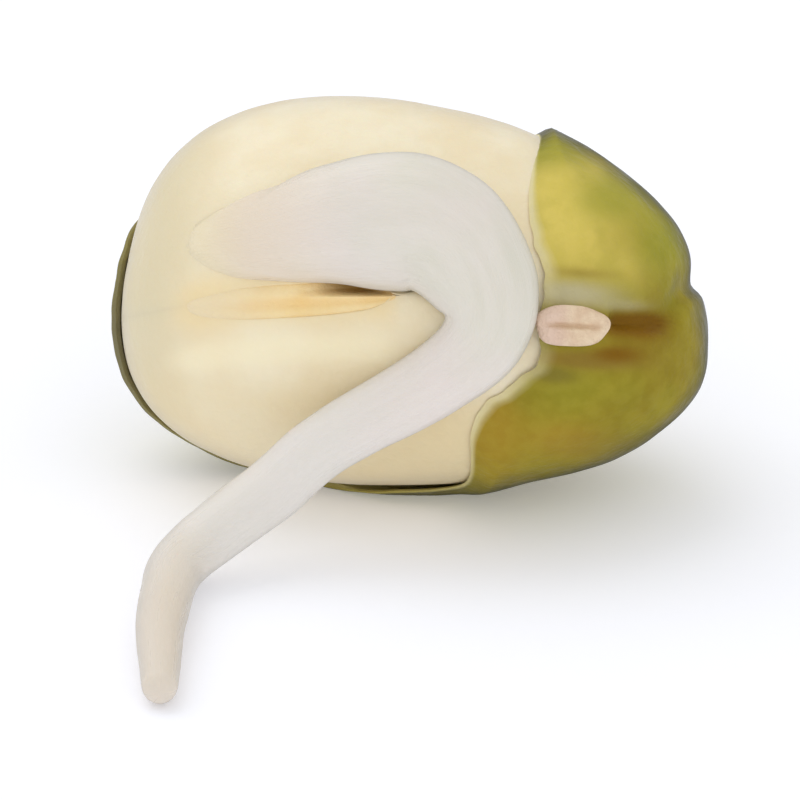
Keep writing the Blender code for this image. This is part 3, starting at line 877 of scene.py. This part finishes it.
def new_group(name, inputs, output):
    """An empty effect, with the names and kinds of its inputs and its output."""
    group = bpy.data.node_groups.new(name, "ShaderNodeTree")
    for socket, kind in inputs:
        group.interface.new_socket(name=socket, in_out="INPUT", socket_type="NodeSocket" + kind)
    group.interface.new_socket(name=output[0], in_out="OUTPUT", socket_type="NodeSocket" + output[1])
    return group, group.nodes.new("NodeGroupInput"), group.nodes.new("NodeGroupOutput")


def soft_noise(group, start, detail):
    """Smooth noise inside an effect, at its place and scale, with raised contrast."""
    noise_node = group.nodes.new("ShaderNodeTexNoise")
    noise_node.inputs["Detail"].default_value = detail
    group.links.new(start.outputs["Place"], noise_node.inputs["Vector"])
    group.links.new(start.outputs["Scale"], noise_node.inputs["Scale"])
    contrast = group.nodes.new("ShaderNodeMapRange")
    contrast.interpolation_type = "SMOOTHSTEP"
    contrast.inputs["From Min"].default_value = NOISE_CONTRAST[0]
    contrast.inputs["From Max"].default_value = NOISE_CONTRAST[1]
    group.links.new(noise_node.outputs["Fac"], contrast.inputs["Value"])
    return contrast.outputs["Result"]


def new_mix(tree, factor, first, second):
    """Goes from one colour or socket to another."""
    node = tree.nodes.new("ShaderNodeMix")
    node.data_type = "RGBA"
    tree.links.new(factor, node.inputs["Factor"])
    for number, colour in ((MIX_FIRST, first), (MIX_SECOND, second)):
        if isinstance(colour, tuple):
            set_input(node.inputs[number], colour)
        else:
            tree.links.new(colour, node.inputs[number])
    return node.outputs[MIX_RESULT]


def patches_group():
    """Soft patches that go between two colours."""
    inputs = (("Place", "Vector"), ("Scale", "Float"), ("Dark", "Color"), ("Light", "Color"))
    group, start, end = new_group("soft patches", inputs, ("Colour", "Color"))
    patches = soft_noise(group, start, FINE_DETAIL)
    mixed = new_mix(group, patches, start.outputs["Dark"], start.outputs["Light"])
    group.links.new(mixed, end.inputs["Colour"])
    return group


def gloss_group():
    """Roughness that wanders between a moist and a dry value."""
    inputs = (("Place", "Vector"), ("Scale", "Float"), ("Moist", "Float"), ("Dry", "Float"))
    group, start, end = new_group("uneven gloss", inputs, ("Roughness", "Float"))
    spread = group.nodes.new("ShaderNodeMapRange")
    group.links.new(soft_noise(group, start, PLAIN_DETAIL), spread.inputs["Value"])
    group.links.new(start.outputs["Moist"], spread.inputs["To Min"])
    group.links.new(start.outputs["Dry"], spread.inputs["To Max"])
    group.links.new(spread.outputs["Result"], end.inputs["Roughness"])
    return group


def relief_group():
    """The finest relief of the skin."""
    inputs = (("Place", "Vector"), ("Scale", "Float"), ("Depth", "Float"), ("Strength", "Float"))
    group, start, end = new_group("fine relief", inputs, ("Normal", "Vector"))
    bump = group.nodes.new("ShaderNodeBump")
    group.links.new(soft_noise(group, start, FINE_DETAIL), bump.inputs["Height"])
    group.links.new(start.outputs["Depth"], bump.inputs["Distance"])
    group.links.new(start.outputs["Strength"], bump.inputs["Strength"])
    group.links.new(bump.outputs["Normal"], end.inputs["Normal"])
    return group


def edge_shade_group():
    """Painted shade: a colour that deepens where the surface turns away from the eye."""
    inputs = (("Facing", "Float"), ("Amount", "Float"), ("Colour", "Color"), ("Tint", "Color"))
    group, start, end = new_group("painted edge shade", inputs, ("Colour", "Color"))
    ease = group.nodes.new("ShaderNodeMapRange")
    ease.interpolation_type = "SMOOTHSTEP"
    ease.inputs["From Min"].default_value = EDGE_SHADE_FROM
    group.links.new(start.outputs["Facing"], ease.inputs["Value"])
    group.links.new(start.outputs["Amount"], ease.inputs["To Max"])
    mixed = new_mix(group, ease.outputs["Result"], start.outputs["Colour"], start.outputs["Tint"])
    group.links.new(mixed, end.inputs["Colour"])
    return group


class Finish:
    """A material under construction, with short ways to add its nodes."""

    def __init__(self, name, effects):
        self.material = bpy.data.materials.new(name)
        self.material.use_nodes = True
        self.tree = self.material.node_tree
        self.nodes = self.tree.nodes
        self.links = self.tree.links
        self.shader = self.nodes["Principled BSDF"]
        self.effects = effects

    def place(self):
        """Object coordinates."""
        return self.nodes.new("ShaderNodeTexCoord").outputs["Object"]

    def value(self, name, output="Fac"):
        """One of the values, or with the output Vector one of the places, that the piece holds."""
        node = self.nodes.new("ShaderNodeAttribute")
        node.attribute_name = name
        return node.outputs[output]

    def effect(self, name, place, **values):
        """One of the shared effects, at a place."""
        node = self.nodes.new("ShaderNodeGroup")
        node.node_tree = self.effects[name]
        self.links.new(place, node.inputs["Place"])
        for socket, value in values.items():
            set_input(node.inputs[socket], value)
        return node.outputs[0]

    def mix(self, factor, first, second):
        """Goes from one colour to another."""
        return new_mix(self.tree, factor, first, second)

    def ramp(self, value, low, high, strength=1.0):
        """Eases from 0 to a strength as the input goes from low to high."""
        node = self.nodes.new("ShaderNodeMapRange")
        node.interpolation_type = "SMOOTHSTEP"
        self.links.new(value, node.inputs["Value"])
        node.inputs["From Min"].default_value = low
        node.inputs["From Max"].default_value = high
        node.inputs["To Max"].default_value = strength
        return node.outputs["Result"]

    def tint(self, colour, tints):
        """Lays tints over a colour in turn."""
        for name, strength, tinted in tints:
            colour = self.mix(self.ramp(self.value(name), 0.0, 1.0, strength), colour, tinted)
        return colour

    def edge(self, colour, amount, tint):
        """Paints shade: deepens a colour where the surface turns away from the eye."""
        away = self.nodes.new("ShaderNodeLayerWeight")
        away.inputs["Blend"].default_value = EVEN_BLEND
        node = self.nodes.new("ShaderNodeGroup")
        node.node_tree = self.effects["painted edge shade"]
        self.links.new(away.outputs["Facing"], node.inputs["Facing"])
        self.links.new(colour, node.inputs["Colour"])
        set_input(node.inputs["Amount"], amount)
        set_input(node.inputs["Tint"], tint)
        return node.outputs["Colour"]

    def connect(self, colour, roughness, normal):
        """Feeds the shader."""
        self.links.new(colour, self.shader.inputs["Base Color"])
        self.links.new(roughness, self.shader.inputs["Roughness"])
        self.links.new(normal, self.shader.inputs["Normal"])

    def set(self, values):
        """Sets some of the shader's own numbers and colours."""
        for name, value in values.items():
            set_input(self.shader.inputs[name], value)

    def flesh(self, weight, scale, radius):
        """Lets light into the surface, as moist plant flesh does."""
        self.set({"Subsurface Weight": weight, "Subsurface Scale": scale})
        self.set({"Specular IOR Level": FLESH_SHINE})
        self.shader.inputs["Subsurface Radius"].default_value = radius


# A tint has the name of the piece's value that it follows, its strength where that is full, and its colour
# The seed leaf tints are painted light: shade at the left end, tan shade below, a highlight on the rim
# under the cleft, warm shade along the cleft
SEED_LEAF_TINTS = (
    ("left_end", 0.9, (0.72, 0.63, 0.41)),
    ("underside", 0.8, (0.79, 0.645, 0.37)),
    ("rim_highlight", 0.6, (0.97, 0.87, 0.6)),
    ("cleft_shade", 0.75, (0.9, 0.7, 0.37)),
)
FIRST_LEAF_TINTS = (("fold", 0.5, (0.9, 0.58, 0.2)),)
# A tint of the stem has the shares of the way along where it starts and is full, its strength and colour
STEM_TINTS = (
    (0.2, 0.08, 1.0, (0.81, 0.7, 0.56)),
    (0.09, 0.035, 1.0, (0.85, 0.74, 0.51)),
    (0.42, 0.6, 0.6, (0.82, 0.78, 0.76)),
    (0.66, 0.9, 1.0, (0.75, 0.67, 0.57)),
)
COAT_LOBE_TINTS = (
    # Partly a painted highlight on the upper lobe
    ("yellow_and_highlight", 0.9, (0.79, 0.635, 0.15)),
    ("green", 0.7, (0.3, 0.3, 0.03)),
    ("dusky", 0.5, (0.27, 0.2, 0.016)),
)
COAT_OCHRE_TINTS = (("ochre", 0.75, (0.4, 0.25, 0.028)),)
COAT_CREASE_AND_SHADE_TINTS = (
    ("shade", 0.85, (0.53, 0.48, 0.3)),
    # Brown below the hilum with painted shade, and painted shade above the fold
    ("brown_and_shade", 0.85, (0.26, 0.165, 0.03)),
    # Painted shade below the hilum; darker low on the lower lobe
    ("deep", 0.7, (0.2, 0.16, 0.03)),
    ("stain", 1.0, (0.215, 0.105, 0.008)),
)
HILUM_TINTS = (("pink", 0.7, (0.78, 0.57, 0.47)), ("groove", 0.8, (0.6, 0.4, 0.24)))


def seed_leaf_finish(effects):
    """Waxy cream flesh, with painted warm shade by the cleft, a painted highlight on the rim below it, and
    painted shade at the left end, below and where the surface turns away.
    """
    finish = Finish("cream seed leaf", effects)
    place = finish.place()
    cream, pale_cream = (0.87, 0.745, 0.5), (0.92, 0.835, 0.62)
    base = finish.effect("soft patches", place, Scale=900.0, Dark=cream, Light=pale_cream)
    base = finish.tint(base, SEED_LEAF_TINTS)
    # Painted warm shade deep in the cleft between the seed leaves
    base = finish.mix(finish.value("cleft"), base, (0.85, 0.58, 0.22))
    # Painted shade where the seed leaf turns away from the eye
    colour = finish.edge(base, 0.55, (0.56, 0.5, 0.4))
    gloss = finish.effect("uneven gloss", place, Scale=1500.0, Moist=0.34, Dry=0.5)
    relief = finish.effect("fine relief", place, Scale=9000.0, Depth=0.00002, Strength=0.25)
    finish.connect(colour, gloss, relief)
    finish.flesh(0.1, 0.0004, (1.0, 0.7, 0.35))
    return finish.material


def first_leaf_finish(effects):
    """Soft yellow leaf tissue, deeper in the fold, creamier at its left end, with painted shade in the
    notch.
    """
    finish = Finish("yellow first leaf", effects)
    place = finish.place()
    yellow, pale_yellow = (0.93, 0.69, 0.33), (0.98, 0.79, 0.45)
    base = finish.effect("soft patches", place, Scale=1800.0, Dark=yellow, Light=pale_yellow)
    base = finish.tint(base, FIRST_LEAF_TINTS)
    base = finish.mix(finish.value("left_end"), base, (0.86, 0.71, 0.45))
    # Painted shade in the notch
    colour = finish.mix(finish.value("notch"), base, (0.52, 0.31, 0.08))
    gloss = finish.effect("uneven gloss", place, Scale=2500.0, Moist=0.4, Dry=0.52)
    relief = finish.effect("fine relief", place, Scale=12000.0, Depth=0.00002, Strength=0.3)
    finish.connect(colour, gloss, relief)
    finish.flesh(0.1, 0.0003, (1.0, 0.7, 0.3))
    return finish.material


def stem_finish(effects):
    """Moist grey white with a lilac and green tinge, cream where it leaves the seed, beige at the root,
    with painted shade where it turns away except near its start.
    """
    finish = Finish("pale stem", effects)
    strand = finish.value("strand", "Vector")
    travel = finish.value("travel")
    greenish, lilac = (0.72, 0.7, 0.59), (0.8, 0.73, 0.68)
    tinge = finish.effect("soft patches", finish.place(), Scale=420.0, Dark=greenish, Light=lilac)
    streaks = finish.effect("soft patches", strand, Scale=3.0, Dark=BLACK, Light=WHITE)
    base = finish.mix(finish.ramp(streaks, 0.0, 1.0, 0.22), tinge, (0.86, 0.81, 0.75))
    for start, full, strength, tinted in STEM_TINTS:
        base = finish.mix(finish.ramp(travel, start, full, strength), base, tinted)
    # Painted shade where the stem turns away from the eye, faded out near its start
    edge_shaded = finish.edge(base, 0.6, (0.44, 0.41, 0.35))
    colour = finish.mix(finish.ramp(travel, 0.17, 0.07), edge_shaded, base)
    gloss = finish.effect("uneven gloss", strand, Scale=2.0, Moist=0.26, Dry=0.42)
    relief = finish.effect("fine relief", strand, Scale=14.0, Depth=0.00002, Strength=0.25)
    finish.connect(colour, gloss, relief)
    finish.flesh(0.12, 0.0004, (1.0, 0.85, 0.65))
    return finish.material


def coat_finish(effects):
    """Olive green skin: mottled, brown in its crease, pale along the torn edge and inside, with a painted
    highlight on the upper lobe and painted shade below the hilum, above the fold, at the left rim and where
    it turns away.
    """
    finish = Finish("olive coat", effects)
    place = finish.place()
    olive, pale_olive = (0.26, 0.2, 0.018), (0.38, 0.32, 0.03)
    base = finish.effect("soft patches", place, Scale=650.0, Dark=olive, Light=pale_olive)
    flecks = finish.effect("soft patches", place, Scale=4200.0, Dark=BLACK, Light=WHITE)
    clouds = finish.effect("soft patches", place, Scale=1100.0, Dark=BLACK, Light=WHITE)
    base = finish.tint(base, COAT_LOBE_TINTS)
    base = finish.mix(finish.ramp(clouds, 0.3, 1.0, 0.3), base, (0.26, 0.25, 0.022))
    base = finish.tint(base, COAT_OCHRE_TINTS)
    base = finish.mix(finish.ramp(flecks, 0.0, 1.0, 0.16), base, (0.5, 0.42, 0.06))
    base = finish.tint(base, COAT_CREASE_AND_SHADE_TINTS)
    # Painted shade where the coat turns away from the eye
    base = finish.edge(base, 1.0, (0.04, 0.04, 0.01))
    base = finish.mix(finish.value("inside"), base, (0.42, 0.37, 0.15))
    base = finish.mix(finish.value("margin"), base, (0.82, 0.73, 0.4))
    # Painted shade along the coat's torn rim on the left
    colour = finish.mix(finish.value("left_rim_shade"), base, (0.2, 0.18, 0.1))
    gloss = finish.effect("uneven gloss", place, Scale=1800.0, Moist=0.32, Dry=0.5)
    relief = finish.effect("fine relief", place, Scale=7000.0, Depth=0.00003, Strength=0.3)
    finish.connect(colour, gloss, relief)
    finish.flesh(0.12, 0.0004, (1.0, 0.9, 0.2))
    finish.set({"Specular IOR Level": 0.03, "Coat Weight": 0.04, "Coat Roughness": 0.25})
    return finish.material


def hilum_finish(effects):
    """Dry, spongy and pinkish, darker in its groove."""
    finish = Finish("spongy hilum", effects)
    place = finish.place()
    tan, pale_tan = (0.75, 0.54, 0.36), (0.87, 0.69, 0.48)
    base = finish.effect("soft patches", place, Scale=5000.0, Dark=tan, Light=pale_tan)
    colour = finish.tint(base, HILUM_TINTS)
    gloss = finish.effect("uneven gloss", place, Scale=5000.0, Moist=0.6, Dry=0.8)
    relief = finish.effect("fine relief", place, Scale=16000.0, Depth=0.00004, Strength=0.5)
    finish.connect(colour, gloss, relief)
    return finish.material


def floor_finish():
    """Plain matte white."""
    finish = Finish("white floor", {})
    finish.set({"Base Color": (0.855, 0.87, 0.925), "Roughness": 0.9, "Specular IOR Level": 0.1})
    finish.set({"Emission Color": (0.96, 0.965, 1.0), "Emission Strength": 0.2})
    return finish.material


# The studio, with its floor and lamps in metres
FLOOR_SIZE = 1.6
ROOM_GLOW = 0.77
LAMPS = (
    ("window", (-0.07, 0.05, 0.14), 0.16, 0.07),
    ("front fill", (0.05, -0.16, 0.09), 0.16, 0.04),
)
LAMPS_AIM_AT = (0.0, 0.0, 0.002)
FRAME_WIDTH = 10.6
CAMERA_DISTANCE = 300.0
CAMERA_AIMS_BELOW = 1.37
CAMERA_CLIP = (0.005, 5.0)
SENSOR = 36.0


def build_floor():
    """A plain white floor."""
    bpy.ops.mesh.primitive_plane_add(size=FLOOR_SIZE, location=(0, 0, 0))
    floor = bpy.context.object
    floor.name = "floor"
    floor.data.materials.append(floor_finish())


def build_light():
    """A soft lamp above and behind on the left, a weak one in front, and a white room."""
    world = bpy.data.worlds.new("white room")
    bpy.context.scene.world = world
    world.use_nodes = True
    room = world.node_tree.nodes["Background"]
    set_input(room.inputs["Color"], WHITE)
    set_input(room.inputs["Strength"], ROOM_GLOW)
    for name, place, size, power in LAMPS:
        bpy.ops.object.light_add(type="AREA", location=place)
        lamp = bpy.context.object
        lamp.name = name
        lamp.data.size = size
        lamp.data.energy = power
        lamp.rotation_euler = (Vector(LAMPS_AIM_AT) - Vector(place)).to_track_quat("-Z", "Y").to_euler()


def build_camera():
    """A long lens on the side from which the sprout was photographed."""
    up = np.cross(VIEW_BACK, np.array([math.cos(VIEW_TURN), math.sin(VIEW_TURN), 0.0]))
    target = SEED_MIDDLE - CAMERA_AIMS_BELOW * up
    place = (target + VIEW_BACK * CAMERA_DISTANCE) * MM
    bpy.ops.object.camera_add(location=place)
    camera = bpy.context.object
    camera.rotation_euler = Vector(-VIEW_BACK).to_track_quat("-Z", "Y").to_euler()
    camera.data.sensor_width = SENSOR
    camera.data.lens = SENSOR * CAMERA_DISTANCE / FRAME_WIDTH
    camera.data.clip_start, camera.data.clip_end = CAMERA_CLIP
    bpy.context.scene.camera = camera
    bpy.context.scene.view_settings.view_transform = "Standard"


def main():
    """Builds the sprout and its studio."""
    groups = (patches_group(), gloss_group(), relief_group(), edge_shade_group())
    effects = {group.name: group for group in groups}
    cream = seed_leaf_finish(effects)
    build_seed_leaf("upper_seed_leaf", 1, "seed_leaf_upper", cream)
    build_seed_leaf("lower_seed_leaf", -1, "seed_leaf_lower", cream)
    build_first_leaves(first_leaf_finish(effects))
    build_stem(stem_finish(effects))
    build_coat(coat_finish(effects))
    build_hilum(hilum_finish(effects))
    build_floor()
    build_light()
    build_camera()


main()
